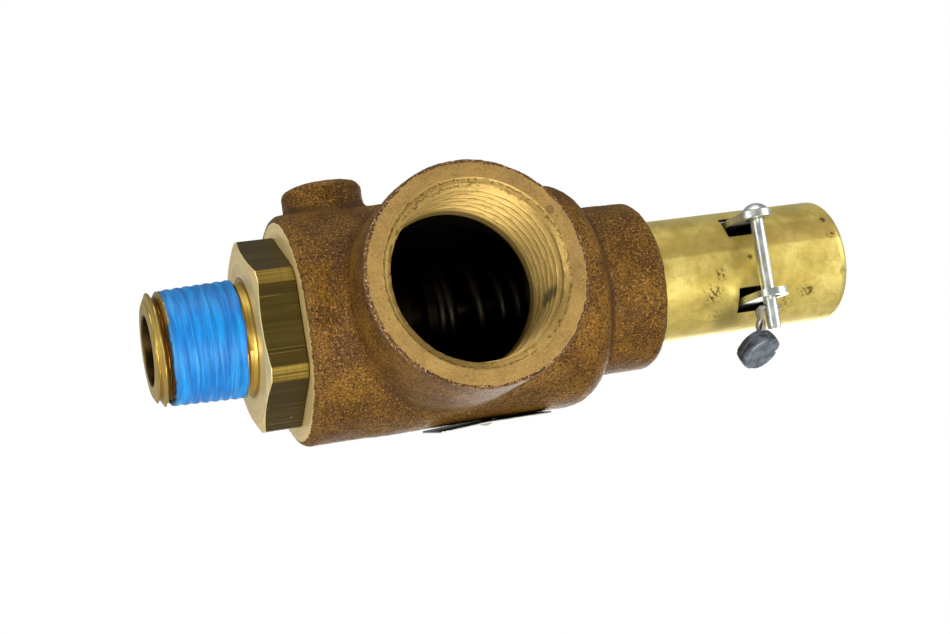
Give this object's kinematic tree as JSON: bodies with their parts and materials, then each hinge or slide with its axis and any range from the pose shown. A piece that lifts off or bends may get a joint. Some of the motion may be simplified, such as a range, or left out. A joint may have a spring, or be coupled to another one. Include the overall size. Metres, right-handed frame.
{
  "type": "pressure relief valve",
  "caption": "Angle-pattern bronze relief valve with threaded male inlet, threaded side outlet, capped spring, sealed pin and hand lift lever.",
  "frame": {"origin": "centre of the inlet bore at the inlet nozzle's end face", "axes": "+Z along the valve axis from the inlet to the cap, -Y out of the side outlet, lever handle at +Y"},
  "size_m": [0.0494, 0.069, 0.1366],
  "materials": {
    "cast_bronze": "sand cast bronze, fine speckled grain, machined bare at the outlet face and threads",
    "machined_brass": "machined brass, satin with tool marks",
    "cap_brass": "drawn brass tube, satin, lightly scuffed",
    "sealant": "blue dried thread sealant",
    "seat_plastic": "pale seat polymer",
    "stainless_steel": "turned stainless steel",
    "spring_steel": "dark drawn spring wire",
    "zinc_steel": "bright zinc plated steel",
    "seal_wire": "annealed galvanised wire",
    "lead": "dull pressed lead",
    "plate_metal": "thin bare metal plate"
  },
  "bodies": {
    "valve_body": {"body_casting": "cast_bronze", "inlet_nozzle": "machined_brass", "thread_sealant": "sealant", "jam_nut": "machined_brass", "cap": "cap_brass", "nameplate": "plate_metal", "nameplate_rivet": "plate_metal", "spring": "spring_steel"},
    "lever": {"lift_lever": "zinc_steel", "lever_pin": "zinc_steel"},
    "stem": {"valve_stem": "stainless_steel", "disc_holder": "machined_brass", "seat_disc": "seat_plastic", "seat_washer": "stainless_steel", "seat_screw": "stainless_steel", "stem_clip": "stainless_steel", "lower_spring_step": "machined_brass", "lift_nut": "machined_brass", "lift_lock_nut": "stainless_steel"},
    "spring_step": {"upper_spring_step": "machined_brass"},
    "adjusting_screw": {"compression_screw": "machined_brass"},
    "seal": {"seal_wire": "seal_wire", "lead_seal": "lead"}
  },
  "joints": [
    {"name": "lever_lift", "type": "hinge", "parent": "valve_body", "child": "lever", "pos_m": [0, -0.00995, 0.1123], "axis": [1, 0, 0], "range_deg": [0, 14], "stiffness_Nm_per_rad": 2, "springref_deg": -6.02},
    {"name": "stem_lift", "type": "slide", "parent": "valve_body", "child": "stem", "axis": [0, 0, 1], "range_m": [0, 0.0026], "deforming": ["spring"]},
    {"name": "step_slide", "type": "slide", "parent": "valve_body", "child": "spring_step", "axis": [0, 0, 1], "range_m": [-0.00071, 0.00071]},
    {"name": "screw_turn", "type": "hinge", "parent": "spring_step", "child": "adjusting_screw", "pos_m": [0, 0, 0.09], "axis": [0, 0, 1], "range_deg": [-180, 180]},
    {"name": "seal_swing", "type": "hinge", "parent": "lever", "child": "seal", "pos_m": [0.01019, -0.0155, 0.11557], "axis": [0.0523, 0, 0.9986], "range_deg": [-20, 20]}
  ],
  "couplings": [
    {"joint": "stem_lift", "follows": "lever_lift", "m_per_rad": 0.0106},
    {"joint": "screw_turn", "follows": "step_slide", "rad_per_m": 4453.2}
  ]
}
